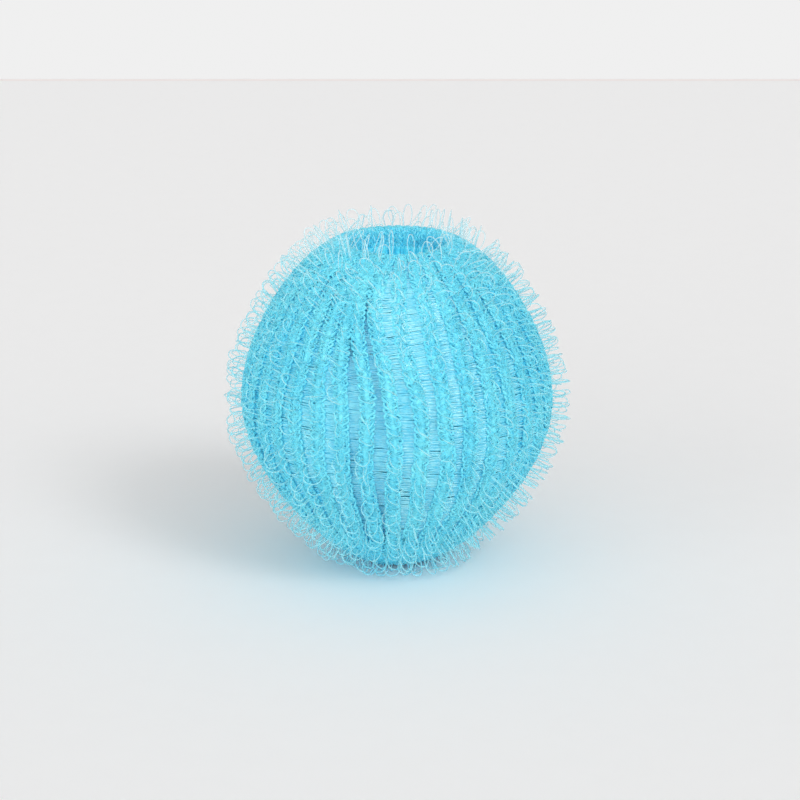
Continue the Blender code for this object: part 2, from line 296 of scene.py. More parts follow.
# Where a cord turns from the wall on to the floor, crosses it, and turns into the neck
BEND_LEVEL = 0.6 * MM
WALL_LEAN = 0.12 * MM
FLOOR_START = 0.7 * MM
FLOOR_START_LEVEL = 0.12 * MM
FLOOR_LEVEL = 0.1 * MM
NECK_FLARE = 0.35 * MM
NECK_FLARE_LEVEL = 0.25 * MM
# The tuft past the neck: how far its cords spread, in mm, and how much of its length each has
TUFT_START = 0.1 * MM
TUFT_LENGTH = 0.5 * MM
TUFT_FLARES = (0.15, 0.55)
TUFT_SHARES = (0.5, 1.0)
# How far cords stray round the well, in radians, and the share of it at the wall
CORD_STRAY = 0.03
WALL_STRAY_SHARE = 0.3
CORD_PIECES = 4
CORD_SIDES = 6
# A cord's radius in mm at these shares of its length
CORD_SHARES = (0, 0.3, 0.6, 1.0)
CORD_RADII = (0.3, 0.28, 0.12, 0.07)

# Ties: turns of two-ply thread round each neck
TIE_RADIUS = 1.3 * MM
TIE_TURNS = 3
TIE_STEPS = 28
TIE_HALF_HEIGHT = 0.2 * MM
TIE_PLIES = 2
PLY_TWISTS = 9
PLY_INSET = 0.1 * MM
PLY_OFFSET = 0.06 * MM
PLY_RADIUS = 0.075 * MM
THREAD_PIECES = 3
THREAD_SIDES = 6

# Knots
TOP_KNOT_ANGLE = math.radians(-60)
BOTTOM_KNOT_ANGLE = math.radians(120)
KNOT_POINTS = 25
KNOT_THREAD_RADIUS = 0.1 * MM
# In mm: the loop's size and depth, how far outside the tie it lies, and the thread's two tails
KNOT_SIZE = 0.13
KNOT_DEPTH = 0.12
KNOT_STANDOFF = 0.55
KNOT_TAILS = (
    ((0.1, 0.0, 0.0), (0.5, 0.02, 0.05), (0.9, -0.15, 0.12), (1.3, -0.5, -0.05)),
    ((-0.1, 0.0, 0.0), (-0.5, 0.05, -0.06), (-0.9, -0.1, 0.05), (-1.25, -0.55, 0.12)),
)

# Tubes: the least length that is divided by, and how upright a path's start is before it counts as steep
TINY = 1e-12
STEEP = 0.8

# Map for baking: how many times as tall as wide a cell is, its margin, and a cap's radius in its cell
CELL_SHAPE = 5.0
CELL_MARGIN = 0.06
CAP_RADIUS = 0.4

# Filament material: how much of its colour the specks set, and how far its roughness varies
SPECK_SHARE = 0.55
ROUGHNESS_SPREAD = 0.08
# Its ridges: the texture's scale for about eight of them round a filament, and their slant in radians
RIDGE_SCALE = 2.5
RIDGE_SLANT = 0.12
RIDGE_STRENGTH = 0.25
RIDGE_HEIGHT = 0.02 * MM

# Studio: the floor and the wall behind it
STAGE_HALF_WIDTH = 1.5
FLOOR_BACK = 300 * MM
FLOOR_COLOUR = (0.945, 0.941, 0.94)
FLOOR_EDGE_DEPTH = 2.5 * MM
FLOOR_EDGE_LIFT = 0.02 * MM
FLOOR_EDGE_COLOUR = (0.95, 0.88, 0.87)
FLOOR_GRAIN = 3 * MM
GRAIN_SHADE = 0.985
WALL_BEHIND_FLOOR = 0.25
WALL_BRIGHTNESS = 0.87
WORLD_LIGHT = 0.55

# Camera
LENS = 100
SENSOR_WIDTH = 36
CLIP_START = 0.01
CAMERA_DISTANCE = 224 * MM
CAMERA_ELEVATION = math.radians(17.5)
AIM = Vector((0.3 * MM, 0.0, 16.6 * MM))

# Lamps, as (name, degrees to the right of the camera, degrees of height, brightness on white, degrees across)
LAMPS = (
    ("key", 38, 38, 0.15, 50),
    ("fill", -50, 10, 0.25, 50),
    ("front", -8, 18, 0.17, 40),
    ("spark", 44, 40, 0.19, 20),
    ("rear_right", 145, 12, 0.19, 60),
    ("rear_left", -145, 12, 0.19, 60),
)


def noise_waves(count, shortest, longest):
    """Random sine waves for a smooth wander: their lengths and where they start."""
    lengths = random.uniform(shortest, longest, count)
    starts = random.uniform(0, 2 * math.pi, count)
    return list(zip(lengths, starts))


def sum_waves(waves, distance):
    total = sum(np.sin(2 * math.pi * distance / length + start) for length, start in waves)
    return total / len(waves)


def mix(pair, share):
    """The value at this share of the way from the first of two to the second."""
    return pair[0] + (pair[1] - pair[0]) * share


def smooth(points, pieces):
    """A smooth curve through the points of each path, with this many pieces between two of them."""
    points = np.asarray(points, float)
    before = np.concatenate((2 * points[..., :1, :] - points[..., 1:2, :], points[..., :-2, :]), axis=-2)
    start = points[..., :-1, :]
    end = points[..., 1:, :]
    after = np.concatenate((points[..., 2:, :], 2 * points[..., -1:, :] - points[..., -2:-1, :]), axis=-2)
    rows = []
    for number in range(pieces):
        t = number / pieces
        rows.append(
            0.5
            * (
                2 * start
                + (end - before) * t
                + (2 * before - 5 * start + 4 * end - after) * t**2
                + (3 * start - before - 3 * end + after) * t**3
            )
        )
    inner = np.stack(rows, axis=-2)
    inner = inner.reshape(*points.shape[:-2], -1, points.shape[-1])
    return np.concatenate((inner, points[..., -1:, :]), axis=-2)


def cubic(start, leave, arrive, end, steps):
    """Points along a curve that leaves its start towards one point and comes to its end from another."""
    t = np.linspace(0, 1, steps + 1)[:, None]
    s = 1 - t
    return s**3 * start + 3 * s * s * t * leave + 3 * s * t * t * arrive + t**3 * end


def body_outline():
    """The body from its base to the crest of its rim."""
    base = np.array((BASE_RADIUS, BASE_LIFT))
    belt = np.array((BODY_RADIUS, WIDEST_LEVEL))
    crest = np.array((RIM_RADIUS, BODY_HEIGHT))
    leave_base = base + ((belt[0] - base[0]) * BASE_FLATNESS, 0)
    reach_belt = belt - (0, (belt[1] - base[1]) * LOWER_FULLNESS)
    leave_belt = belt + (0, (crest[1] - belt[1]) * UPPER_FULLNESS)
    reach_crest = crest + ((belt[0] - crest[0]) * RIM_FLATNESS, 0)
    lower = cubic(base, leave_base, reach_belt, belt, BODY_STEPS)
    upper = cubic(belt, leave_belt, reach_crest, crest, BODY_STEPS)
    return np.vstack((lower[:-1], upper))


def make_outline():
    """The whole knitted outline: up out of the dimple, round the foot, up the body and into the crater."""
    dimple = (DIMPLE_RADIUS, DIMPLE_DEPTH - DIMPLE_STOP)
    turn = [(DIMPLE_RADIUS + out, up + FOOT_LIFT) for out, up in FOOT_TURN]
    base = (BASE_RADIUS, FOOT_EDGE + FOOT_LIFT)
    foot = smooth((dimple, *turn, base), FOOT_PIECES)
    body = body_outline()[BODY_SKIP:]
    turns = np.linspace(0, math.pi / 2, RIM_POINTS)[1:]
    rim_radius = RIM_RADIUS - RIM_ROUND * np.sin(turns)
    rim_height = BODY_HEIGHT - RIM_ROUND * (1 - np.cos(turns))
    rim = np.stack((rim_radius, rim_height), axis=-1)
    wall = np.array(((CRATER_RADIUS, BODY_HEIGHT - CRATER_DEPTH + CRATER_STOP),))
    points = np.vstack((foot, body, rim, wall))
    lengths = np.concatenate(((0,), np.cumsum(np.linalg.norm(np.diff(points, axis=0), axis=1))))
    distance = np.arange(0, lengths[-1], OUTLINE_STEP)
    radius = np.interp(distance, lengths, points[:, 0])
    height = np.interp(distance, lengths, points[:, 1])
    along = np.gradient(np.stack((radius, height), axis=-1), axis=0)
    along /= np.linalg.norm(along, axis=1, keepdims=True)
    kernel = np.hanning(ROUNDING_STEPS)
    kernel /= kernel.sum()
    margin = ROUNDING_STEPS // 2
    padded = np.pad(along, ((margin, margin), (0, 0)), mode="edge")
    along = np.stack([np.convolve(padded[:, axis], kernel, "valid") for axis in (0, 1)], axis=-1)
    along /= np.linalg.norm(along, axis=1, keepdims=True)
    return SimpleNamespace(
        distance=distance,
        radius=radius,
        height=height,
        out_radius=along[:, 1],
        out_height=-along[:, 0],
        foot_end=lengths[len(foot)],
        crest=lengths[len(foot) + len(body) - 1],
        end=distance[-1],
    )


outline = make_outline()
shared_waves = noise_waves(*SHARED_WAVES)
own_waves = [noise_waves(*OWN_WAVES) for number in range(WALE_COUNT)]


def read_outline(values, distance):
    return np.interp(distance, outline.distance, values)


def rim_share(distance):
    """How far a place is into the rim, from 0 below it to 1 at its crest and past it."""
    return np.clip((distance - outline.crest + RIM_REACH) / RIM_REACH, 0, 1)


def place(distance, angle, lift):
    """Points over the knitted surface, at a distance along its outline and an angle round the ball."""
    into_rim = rim_share(distance)
    into_rim = into_rim * into_rim * (3 - 2 * into_rim)
    lift = lift + SWELL - into_rim * (RIM_SINK + RIM_DIP * np.maximum(np.cos(angle - RIM_DIP_ANGLE), 0))
    radius = read_outline(outline.radius, distance) + lift * read_outline(outline.out_radius, distance)
    height = read_outline(outline.height, distance) + lift * read_outline(outline.out_height, distance)
    height = np.maximum(height, FLOOR_CLEARANCE)
    return np.stack((radius * np.cos(angle), radius * np.sin(angle), height), axis=-1)


def flatness(angle, distance):
    """How flat the knit is drawn, from 0 to 1, at an angle and a distance along the outline."""
    height = read_outline(outline.height, distance)
    flat = 0.0
    for centre, level, reach, rise in FLAT_PATCHES:
        off = np.remainder(angle - centre + math.pi, 2 * math.pi) - math.pi
        flat = flat + np.exp(-((off / reach) ** 4) - ((height - level) / rise) ** 4)
    return np.minimum(flat, 1.0)


def wale_pitch(distance):
    return 2 * math.pi * read_outline(outline.radius, distance) / WALE_COUNT


def wale_angle(number, distance):
    """Where a wale lies round the ball at each distance along the outline."""
    number = number % WALE_COUNT
    base = WALE_TURN + 2 * math.pi * number / WALE_COUNT
    own = OWN_STRAY * sum_waves(own_waves[number], distance)
    own = own * np.minimum(1, wale_pitch(distance) / FULL_PITCH)
    radius = np.maximum(read_outline(outline.radius, distance), LEAST_STRAY_RADIUS)
    shared = SHARED_TURN * sum_waves(shared_waves, distance + SHARED_SHIFT * math.sin(base))
    off_centre = math.remainder(base - PINCH_ANGLE, 2 * math.pi) / PINCH_SPREAD
    pinch = PINCH_TURN * math.exp(-(off_centre**2))
    pinch = pinch * np.exp(-(((distance - PINCH_DISTANCE) / PINCH_LENGTH) ** 2))
    return base + own / radius + shared + pinch


def path_frames(paths):
    """Two directions square to each path at each of its points, turned as little as possible along it."""
    tangents = np.gradient(paths, axis=1)
    tangents /= np.maximum(np.linalg.norm(tangents, axis=-1, keepdims=True), TINY)
    first = tangents[:, 0]
    helper = np.where(np.abs(first[:, 2:]) < STEEP, (0.0, 0.0, 1.0), (1.0, 0.0, 0.0))
    normal = np.cross(first, helper)
    normal /= np.linalg.norm(normal, axis=-1, keepdims=True)
    normals = np.empty_like(paths)
    normals[:, 0] = normal
    for number in range(paths.shape[1] - 1):
        step = paths[:, number + 1] - paths[:, number]
        scale = 2 / np.maximum((step * step).sum(-1, keepdims=True), TINY**2)
        tangent = tangents[:, number]
        normal = normal - scale * (step * normal).sum(-1, keepdims=True) * step
        tangent = tangent - scale * (step * tangent).sum(-1, keepdims=True) * step
        bend = tangents[:, number + 1] - tangent
        scale = 2 / np.maximum((bend * bend).sum(-1, keepdims=True), TINY**2)
        normal = normal - scale * (bend * normal).sum(-1, keepdims=True) * bend
        normals[:, number + 1] = normal
    return normals, np.cross(tangents, normals)


def tube_rings(paths, radius, sides):
    """The ring of points round each point of each path."""
    normals, others = path_frames(paths)
    turn = 2 * math.pi * np.arange(sides) / sides
    radius = np.broadcast_to(np.asarray(radius, float), paths.shape[:2])[..., None, None]
    return paths[:, :, None] + radius * (
        normals[:, :, None] * np.cos(turn)[:, None] + others[:, :, None] * np.sin(turn)[:, None]
    )


def face_corners(u_low, u_high, v_low, v_high):
    """Each face's four corners in a map, with u along the strand and v round it."""
    u_low, u_high, v_low, v_high = np.broadcast_arrays(u_low, u_high, v_low, v_high)
    corners = ((u_low, v_low), (u_low, v_high), (u_high, v_high), (u_high, v_low))
    return np.stack([np.stack(corner, axis=-1) for corner in corners], axis=-2)


def strand_places(paths, sides):
    """Places in the strands' own map: millimetres along each strand, and from 0 to 1 round it."""
    steps = np.linalg.norm(np.diff(paths, axis=1), axis=-1)
    along = np.concatenate((np.zeros((len(paths), 1)), np.cumsum(steps, axis=1)), axis=1) / MM
    v_low = np.arange(sides) / sides
    corners = face_corners(along[:, :-1, None], along[:, 1:, None], v_low, v_low + 1 / sides)
    return corners.reshape(-1, 2)


def bake_places(bake_cells):
    """Places in the map for baking: a tall, narrow cell for each section of a strand, row by row."""
    total = sum(count for count, sides, is_cap in bake_cells)
    columns = max(1, int(math.sqrt(total * CELL_SHAPE)))
    rows = -(-total // columns)
    number = np.arange(total)
    low = np.stack((number % columns / columns, number // columns / rows), axis=-1)
    size = np.array((1 / columns, 1 / rows))
    places = []
    first = 0
    for count, sides, is_cap in bake_cells:
        cell = low[first : first + count]
        first += count
        if is_cap:
            turn = 2 * math.pi * np.arange(sides) / sides
            disc = 0.5 + CAP_RADIUS * np.stack((np.cos(turn), np.sin(turn)), axis=-1)
            places.append((cell[:, None] + disc * size).reshape(-1, 2))
        else:
            v_low = CELL_MARGIN + (1 - 2 * CELL_MARGIN) * np.arange(sides) / sides
            v_high = v_low + (1 - 2 * CELL_MARGIN) / sides
            corners = face_corners(0.0, 1.0, v_low, v_high)
            places.append((cell[:, None, None] + corners * size).reshape(-1, 2))
    return np.concatenate(places)


def tube_mesh(name, groups):
    """One mesh of round strands, with a material for each group.

    A group is (paths, radius, sides), with paths of as many points each.
    """
    vertices = []
    corners = []
    face_sizes = []
    face_groups = []
    strand_map = []
    bake_cells = []
    first_vertex = 0
    for group, (paths, radius, sides) in enumerate(groups):
        count, points, _ = paths.shape
        vertices.append(tube_rings(paths, radius, sides).reshape(-1, 3))
        ids = first_vertex + np.arange(count * points * sides).reshape(count, points, sides)
        first_vertex += ids.size
        after = np.roll(ids, -1, axis=2)
        quads = np.stack((ids[:, :-1], after[:, :-1], after[:, 1:], ids[:, 1:]), axis=-1)
        caps = np.stack((ids[:, 0, ::-1], ids[:, -1]), axis=1)
        corners += [quads.reshape(-1), caps.reshape(-1)]
        face_sizes += [np.full(quads.size // 4, 4), np.full(2 * count, sides)]
        face_groups.append(np.full(quads.size // 4 + 2 * count, group))
        strand_map += [strand_places(paths, sides), np.zeros((caps.size, 2))]
        bake_cells += [(count * (points - 1), sides, False), (2 * count, sides, True)]
    vertices = np.concatenate(vertices)
    corners = np.concatenate(corners)
    face_sizes = np.concatenate(face_sizes)
    mesh = bpy.data.meshes.new(name)
    mesh.vertices.add(len(vertices))
    mesh.vertices.foreach_set("co", vertices.ravel())
    mesh.loops.add(len(corners))
    mesh.loops.foreach_set("vertex_index", corners)
    mesh.polygons.add(len(face_sizes))
    starts = np.concatenate(((0,), np.cumsum(face_sizes)[:-1]))
    mesh.polygons.foreach_set("loop_start", starts)
    mesh.polygons.foreach_set("material_index", np.concatenate(face_groups))
    mesh.update(calc_edges=True)
    mesh.shade_smooth()
    # The map for baking comes last, so that the strands' own map is the first
    strand = mesh.uv_layers.new(name="strand")
    strand.uv.foreach_set("vector", np.concatenate(strand_map).ravel())
    layout = mesh.uv_layers.new(name="OFBake")
    layout.uv.foreach_set("vector", bake_places(bake_cells).ravel())
    return mesh


def add_piece(name, mesh, materials, replaced=()):
    for material in materials:
        mesh.materials.append(material)
    piece = bpy.data.objects.new(name, mesh)
    bpy.context.scene.collection.objects.link(piece)
    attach(piece, "root")
    if replaced:
        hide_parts(*replaced)


def chain_path(number, start, end, pattern, stitch, half_width, lift=0.0, turn=0.0):
    """The yarn of one wale: stitch after stitch along the outline, each drawn through the one before."""
    count = int((end - start) / stitch)
    steps = np.arange(count)[:, None]
    pattern = np.asarray(pattern)
    local = np.empty((count, len(pattern), 3))
    local[..., 0] = pattern[:, 0]
    local[..., 1] = pattern[:, 1] + steps
    local[..., 2] = pattern[:, 2]
    local += STITCH_JITTER * random.standard_normal(local.shape)
    local = smooth(local.reshape(1, -1, 3), CURVE_PIECES)
    distance = start + local[..., 1] * stitch
    fit = np.minimum(half_width, wale_pitch(distance) / 2 - CHAIN_CLEARANCE)
    radius = read_outline(outline.radius, distance)
    angle = wale_angle(number, distance) + turn + local[..., 0] * fit / radius
    return place(distance, angle, lift + local[..., 2] * MM - FLAT_DEPTH * flatness(angle, distance))


def core_path(number):
    """The thick yarn that fills a wale under its chain."""
    distance = np.arange(CORE_MARGIN, outline.end - CORE_MARGIN, CORE_STEP)[None]
    angle = wale_angle(number, distance)
    points = place(distance, angle, CORE_LIFT - FLAT_DEPTH * flatness(angle, distance))
    points[..., 2] = np.maximum(points[..., 2], CORE_RADIUS)
    return points


def fuzz_path(number):
    """A fine filament that wanders from side to side over a wale's chain."""
    distance = np.arange(FUZZ_MARGIN, outline.end - FUZZ_MARGIN, FUZZ_STEP)
    distance = distance + random.normal(0, FUZZ_STEP_SPREAD, len(distance))
    side = random.uniform(-FUZZ_REACH, FUZZ_REACH, len(distance))
    lift = random.uniform(*FUZZ_LIFTS, len(distance)) * MM - FUZZ_DROP * side**2
    half_width = np.minimum(CHAIN_HALF_WIDTH, wale_pitch(distance) / 2 - CHAIN_CLEARANCE)
    local = smooth(np.stack((distance, side * half_width, lift), axis=-1)[None], CURVE_PIECES)
    distance = local[..., 0]
    angle = wale_angle(number, distance) + local[..., 1] / read_outline(outline.radius, distance)
    return place(distance, angle, local[..., 2] - FLAT_DEPTH * flatness(angle, distance))


def make_chain(number, material):
    """One wale: its chain of stitches, the core yarn under it and the stray filaments over it."""
    node = f"wale_{number + 1:02d}"
    chain = chain_path(number, 0.0, outline.end, CHAIN_STITCH, STITCH, CHAIN_HALF_WIDTH)
    core = core_path(number)
    fuzz = np.concatenate([fuzz_path(number) for strand in range(FUZZ_STRANDS)])
    groups = (
        (chain, YARN_RADIUS, YARN_SIDES),
        (core, CORE_RADIUS, CORE_SIDES),
        (fuzz, FUZZ_RADIUS, FUZZ_SIDES),
    )
    mesh = tube_mesh(f"{node}_chain", groups)
    add_piece(mesh.name, mesh, [material] * len(groups), (node,))


def pile_places(number):
    """Where along the outline one wale's loops stand, and how far up the pile that is, from 0 to 1."""
    first = outline.foot_end + PILE_MARGIN
    last = outline.crest + PILE_MARGIN
    distance = [first + (number % 2) * STITCH]
    while distance[-1] < last:
        spacing = math.sqrt(FULL_PITCH / min(FULL_PITCH, wale_pitch(distance[-1])))
        if distance[-1] > outline.crest - RIM_REACH:
            spacing = spacing * RIM_SPACING
        distance.append(distance[-1] + 2 * STITCH * spacing)
    distance = np.array(distance[:-1])
    distance = distance + random.uniform(-PILE_STRAY, PILE_STRAY, len(distance))
    return distance, (distance - first) / (last - first)


def loop_directions(distance, angle, climb):
    """For each loop, the way across it, the way up it and the way straight out of the knit."""
    out_radius = read_outline(outline.out_radius, distance)
    out_height = read_outline(outline.out_height, distance)
    round_unit = np.stack((-np.sin(angle), np.cos(angle), 0 * angle), axis=-1)
    radial = np.stack((np.cos(angle), np.sin(angle), 0 * angle), axis=-1)
    upright = np.array((0.0, 0.0, 1.0))
    outwards = radial * out_radius[:, None] + upright * out_height[:, None]
    along = np.cross(round_unit, outwards)
    near_rim = rim_share(distance)
    twist = LOOP_TWIST * np.minimum(1, FOOT_TWIST + TWIST_GAIN * climb) * (1 - RIM_UNTWIST * near_rim)
    twist = np.radians(twist + random.normal(0, mix(TWIST_SPREAD, near_rim)))[:, None]
    lean = np.radians(random.normal(0, mix(LEAN_SPREAD, near_rim)))[:, None]
    tip = np.radians(random.normal(0, mix(TIP_SPREAD, near_rim)))[:, None]
    across = round_unit * np.cos(twist) + along * np.sin(twist)
    rise = outwards + along * np.tan(lean) + round_unit * np.tan(tip)
    # In the crater the loops turn up towards its mouth
    rise = rise + upright * np.maximum(0, -out_radius)[:, None] * CRATER_UPTURN
    rise /= np.linalg.norm(rise, axis=1, keepdims=True)
    return across, rise, outwards


def loop_sizes(distance):
    """Each loop's height and half width."""
    near_rim = rim_share(distance)
    height = LOOP_HEIGHT * random.uniform(*HEIGHT_RANGE, len(distance)) * (1 + RIM_GROWTH * near_rim)
    room = np.minimum(1, wale_pitch(distance) / (LOOP_ROOM * LOOP_HALF_WIDTH))
    half_width = LOOP_HALF_WIDTH * random.uniform(*WIDTH_RANGE, len(distance))
    half_width = half_width * np.maximum(room, LEAST_LOOP_WIDTH) * (1 - RIM_NARROWING * near_rim)
    return height, half_width


def make_pile(number, material):
    """The pile of one wale: one filament that rises in loops and dips under the chain between them."""
    distance, climb = pile_places(number)
    angle = wale_angle(number, distance)
    across, rise, outwards = loop_directions(distance, angle, climb)
    height, half_width = loop_sizes(distance)
    half = np.array(LOOP_HALF)
    shape = np.vstack((half * (-1, 1), half[-2::-1]))
    points = (
        place(distance, angle, LOOP_FOOT_LIFT)[:, None]
        + across[:, None] * (shape[:, 0] * half_width[:, None])[..., None]
        + rise[:, None] * (shape[:, 1] * height[:, None])[..., None]
    )
    points += random.normal(0, LOOP_JITTER, points.shape)
    dips = (points[:-1, -1] + points[1:, 0]) / 2 - DIP_DEPTH * outwards[:-1]
    dips += random.normal(0, DIP_SPREAD, dips.shape)
    dips = np.vstack((dips, points[-1:, -1]))
    points = np.concatenate((points, dips[:, None]), axis=1).reshape(1, -1, 3)[:, :-1]
    floor = FLOOR_CLEARANCE + FLOOR_UNEVENNESS * random.random(points.shape[:2])
    points[..., 2] = np.maximum(points[..., 2], floor)
    points = smooth(points, CURVE_PIECES)
    points[..., 2] = np.maximum(points[..., 2], FLOOR_CLEARANCE)
    loop = np.linspace(0, len(climb) - 1, points.shape[1])
    radius = LOOP_RADIUS * mix(LOOP_THICKNESS, np.interp(loop, np.arange(len(climb)), climb))
    mesh = tube_mesh(f"wale_{number + 1:02d}_pile", ((points, radius, FILAMENT_SIDES),))
    add_piece(mesh.name, mesh, [material])


def rung_path(number, along, widen, lift, depth):
    """A ground filament between this wale and the next: to and fro, a course up at each turn."""
    start = NET_START + along * MM
    count = int((outline.end - NET_STOP - start) / (2 * STITCH))
    steps = np.arange(count)[:, None]
    course = np.asarray(RUNG_COURSE)
    local = np.empty((count, len(course), 3))
    local[..., 0] = 0.5 + (course[:, 0] - 0.5) * (1 + widen)
    local[..., 1] = course[:, 1] + 2 * steps
    local[..., 2] = course[:, 2] + lift
    for axis, spread in enumerate(RUNG_JITTER):
        local[..., axis] += random.normal(0, spread, local.shape[:2])
    local = smooth(local.reshape(1, -1, 3), CURVE_PIECES)
    distance = start + local[..., 1] * STITCH
    near = wale_angle(number, distance)
    gap = (wale_angle(number + 1, distance) - near) % (2 * math.pi)
    flat = flatness(near + gap / 2, distance)
    share = 0.5 + (local[..., 0] - 0.5) * (1 + FLAT_WIDENING * flat)
    crowded = np.maximum(0, 1 - wale_pitch(distance) / FULL_PITCH)
    distance = distance + (share - 0.5) * wale_pitch(distance) * math.tan(FLAT_SLANT) * flat
    lift = local[..., 2] * MM - depth + FLAT_LIFT * flat + CROWDED_LIFT * crowded
    return place(distance, near + gap * share, lift)


def make_net(plain_material, glint_material):
    """The ground filaments, in pieces that each cover a few of the gaps between wales."""
    depths = random.uniform(0, GAP_DEPTH, WALE_COUNT)
    for number, depth in DEEP_GAPS.items():
        depths[number] = depth
    for sector, numbers in enumerate(np.array_split(np.arange(WALE_COUNT), NET_SECTORS)):
        paths = []
        clear = []
        for number in numbers:
            for strand, (along, widen, lift) in enumerate(RUNG_STRANDS):
                paths.append(rung_path(number, along, widen, lift, depths[number]))
                clear.append(number in GLINT_GAPS and strand in GLINT_STRANDS)
        shortest = min(path.shape[1] for path in paths)
        paths = np.concatenate([path[:, :shortest] for path in paths])
        clear = np.array(clear)
        # The paler filaments carry a painted glint of the lamps and painted light seen through the net
        groups = [(some, RUNG_RADIUS, FILAMENT_SIDES) for some in (paths[~clear], paths[clear])]
        mesh = tube_mesh(f"ground_net_sector_{sector + 1:02d}", groups)
        add_piece(mesh.name, mesh, [plain_material, glint_material], ("ground_net",))


def make_sleeve(material):
    """The half of the tube that is turned inside: a plainer knit, half a wale on from the outer one."""
    start = outline.foot_end + SLEEVE_START
    end = outline.crest - SLEEVE_STOP
    for quarter, numbers in enumerate(np.array_split(np.arange(WALE_COUNT), SLEEVE_PIECES)):
        chains = [
            chain_path(
                number,
                start,
                end,
                SLEEVE_CHAIN,
                SLEEVE_STITCH,
                SLEEVE_HALF_WIDTH,
                lift=-SLEEVE_INSET,
                turn=math.pi / WALE_COUNT,
            )
            for number in numbers
        ]
        groups = ((np.concatenate(chains), SLEEVE_YARN_RADIUS, FILAMENT_SIDES),)
        mesh = tube_mesh(f"inner_sleeve_quarter_{quarter + 1}", groups)
        add_piece(mesh.name, mesh, [material], ("inner_sleeve",))


def make_gather(name, node, wall_radius, wall_length, depth, face_level, way, material):
    """A gathered end: the wales' yarns run down the well, in to the tied neck, and end in a tuft.

    Depths are measured from the well's mouth, at face_level. The way is -1 where they go down and 1 where up.
    """
    neck_end = depth - NECK_LENGTH
    paths = []
    for number in range(2 * WALE_COUNT):
        angle = math.pi * number / WALE_COUNT + WALE_TURN
        inner = NECK_RADIUS * NECK_RINGS[number % len(NECK_RINGS)]
        swell = CORD_SWELL * (1 if number % 2 else -1)
        flare = random.uniform(*TUFT_FLARES) * MM
        points = np.array(
            (
                (wall_radius + swell, depth - wall_length),
                (wall_radius - WALL_LEAN + swell, depth - BEND_LEVEL),
                (wall_radius - FLOOR_START, depth - FLOOR_START_LEVEL + swell),
                ((wall_radius + NECK_RADIUS) / 2, depth - FLOOR_LEVEL + swell),
                (inner + NECK_FLARE, depth - NECK_FLARE_LEVEL + swell),
                (inner, depth - BEND_LEVEL),
                (inner * TIE_PINCH, depth - TIE_LEVEL),
                (inner, neck_end + TUFT_START),
                (inner + flare, neck_end - TUFT_LENGTH * random.uniform(*TUFT_SHARES)),
            )
        )
        stray = random.normal(0, CORD_STRAY, len(points)) * np.linspace(WALL_STRAY_SHARE, 1, len(points))
        turn = angle + stray
        height = face_level + way * points[:, 1]
        paths.append(np.stack((points[:, 0] * np.cos(turn), points[:, 0] * np.sin(turn), height), axis=-1))
    paths = smooth(np.array(paths), CORD_PIECES)
    share = np.linspace(0, 1, paths.shape[1])
    radius = np.interp(share, CORD_SHARES, CORD_RADII) * MM
    mesh = tube_mesh(name, ((paths, radius, CORD_SIDES),))
    add_piece(name, mesh, [material], (node,))


def make_tie(name, node, level, material):
    """A few turns of two-ply thread round a neck."""
    steps = TIE_TURNS * TIE_STEPS
    turn = np.linspace(0, 2 * math.pi * TIE_TURNS, steps)
    height = level + np.linspace(-TIE_HALF_HEIGHT, TIE_HALF_HEIGHT, steps)
    paths = []
    for ply in range(TIE_PLIES):
        twist = turn * PLY_TWISTS + 2 * math.pi * ply / TIE_PLIES
        radius = TIE_RADIUS - PLY_INSET + PLY_OFFSET * np.cos(twist)
        lifted = height + PLY_OFFSET * np.sin(twist)
        paths.append(np.stack((radius * np.cos(turn), radius * np.sin(turn), lifted), axis=-1))
    paths = smooth(np.array(paths), THREAD_PIECES)
    mesh = tube_mesh(name, ((paths, PLY_RADIUS, THREAD_SIDES),))
    add_piece(name, mesh, [material], (node,))


def make_knot(name, node, level, angle, material):
    """The tie's knot, a thread looped through itself, with two cut tails."""
    steps = np.linspace(0, 2 * math.pi, KNOT_POINTS)
    loop = (
        KNOT_SIZE * (np.cos(steps) - 2 * np.cos(2 * steps)),
        -KNOT_DEPTH * np.sin(3 * steps),
        KNOT_SIZE * (np.sin(steps) + 2 * np.sin(2 * steps)),
    )
    middle = np.array((0.0, TIE_RADIUS / MM + KNOT_STANDOFF, 0.0))
    cos = math.cos(angle - math.pi / 2)
    sin = math.sin(angle - math.pi / 2)
    turn = np.array(((cos, sin, 0), (-sin, cos, 0), (0, 0, 1)))
    groups = []
    for path in (np.stack(loop, axis=-1), *KNOT_TAILS):
        points = ((middle + path) @ turn) * MM + (0, 0, level)
        groups.append((smooth(points[None], THREAD_PIECES), KNOT_THREAD_RADIUS, THREAD_SIDES))
    mesh = tube_mesh(name, groups)
    add_piece(name, mesh, [material] * len(groups), (node,))


def add_node(material, kind, **values):
    """A shader node, with its own settings or its inputs' values by name."""
    node = material.node_tree.nodes.new(kind)
    for key, value in values.items():
        if hasattr(node, key):
            setattr(node, key, value)
        else:
            node.inputs[key].default_value = value
    return node


def paint_crown_light(material, where, colour, share):
    """Mixes white into a colour from the shoulder of the ball up to its crown, up to this share: painted light
    for the bright surround seen through the filaments.
    """
    parts = add_node(material, "ShaderNodeSeparateXYZ")
    climb = add_node(material, "ShaderNodeMapRange")
    climb.inputs["From Min"].default_value = CROWN_START
    climb.inputs["From Max"].default_value = BODY_HEIGHT
    climb.inputs["To Max"].default_value = share
    lightened = add_node(material, "ShaderNodeMixRGB", Color2=(1.0, 1.0, 1.0, 1.0))
    link = material.node_tree.links.new
    link(where, parts.inputs["Vector"])
    link(parts.outputs["Z"], climb.inputs["Value"])
    link(climb.outputs["Result"], lightened.inputs["Fac"])
    link(colour, lightened.inputs["Color1"])
    return lightened.outputs["Color"]


